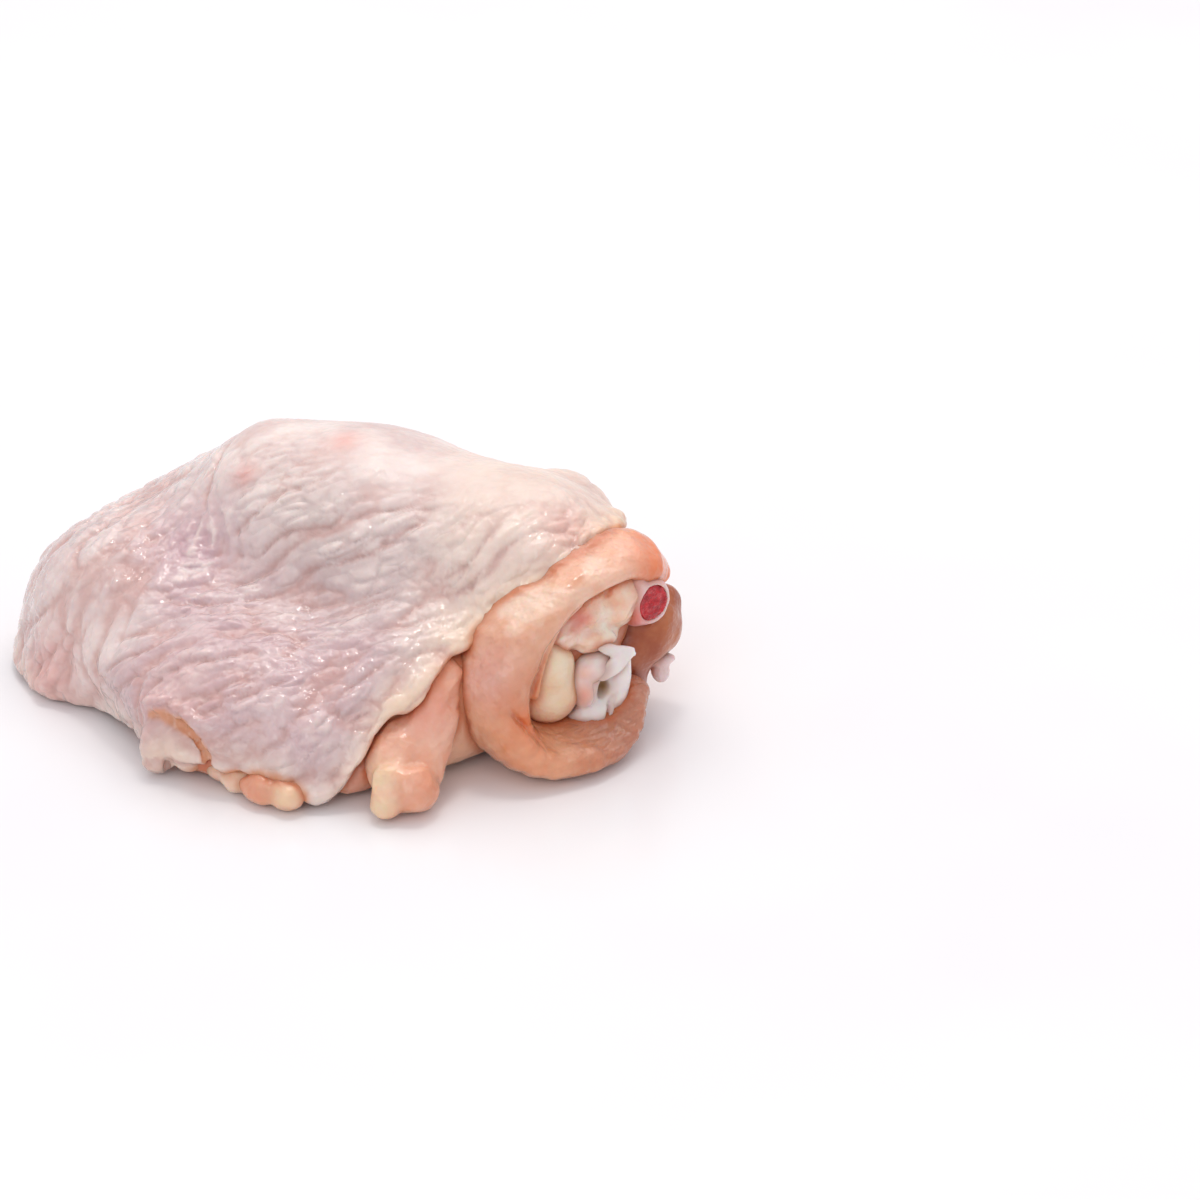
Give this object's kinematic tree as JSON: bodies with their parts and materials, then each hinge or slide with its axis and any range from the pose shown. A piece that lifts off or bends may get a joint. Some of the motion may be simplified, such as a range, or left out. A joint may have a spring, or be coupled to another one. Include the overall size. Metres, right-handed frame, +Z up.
{
  "type": "raw chicken thigh",
  "caption": "Raw bone-in chicken thigh lying skin side up: pale pimpled skin over rounded muscle, open at the cut knee end with cartilage, fat and a sawn bone.",
  "frame": {"origin": "middle of the bounding box, on the surface that the thigh lies on", "axes": "+X along the thigh to the cut knee end, +Y to the far side as it lies in the picture, +Z up"},
  "size_m": [0.1214, 0.0885, 0.044],
  "materials": {
    "skin": "wet, pimpled",
    "meat": "wet",
    "knee_muscle": "wet, under a thin glossy membrane",
    "inner_meat": "wet",
    "cartilage": "wet, smooth",
    "fat_pad": "satin",
    "joint_fat": "satin",
    "bone": "sawn, damp",
    "marrow": "wet",
    "ligament": "wet",
    "fat": "satin"
  },
  "bodies": {
    "root": {"skin": "skin", "thigh_meat": "meat", "knee_muscle": "knee_muscle", "inner_meat": "inner_meat", "knee_cartilage": "cartilage", "cartilage_flap": "cartilage", "fat_pad": "fat_pad", "joint_fat": "joint_fat", "bone_stub": "bone", "marrow": "marrow", "ligament_tag": "ligament", "front_fat_lobe": "fat", "edge_fat_near_fold": "fat", "edge_fat_near_corner": "fat"}
  },
  "joints": []
}
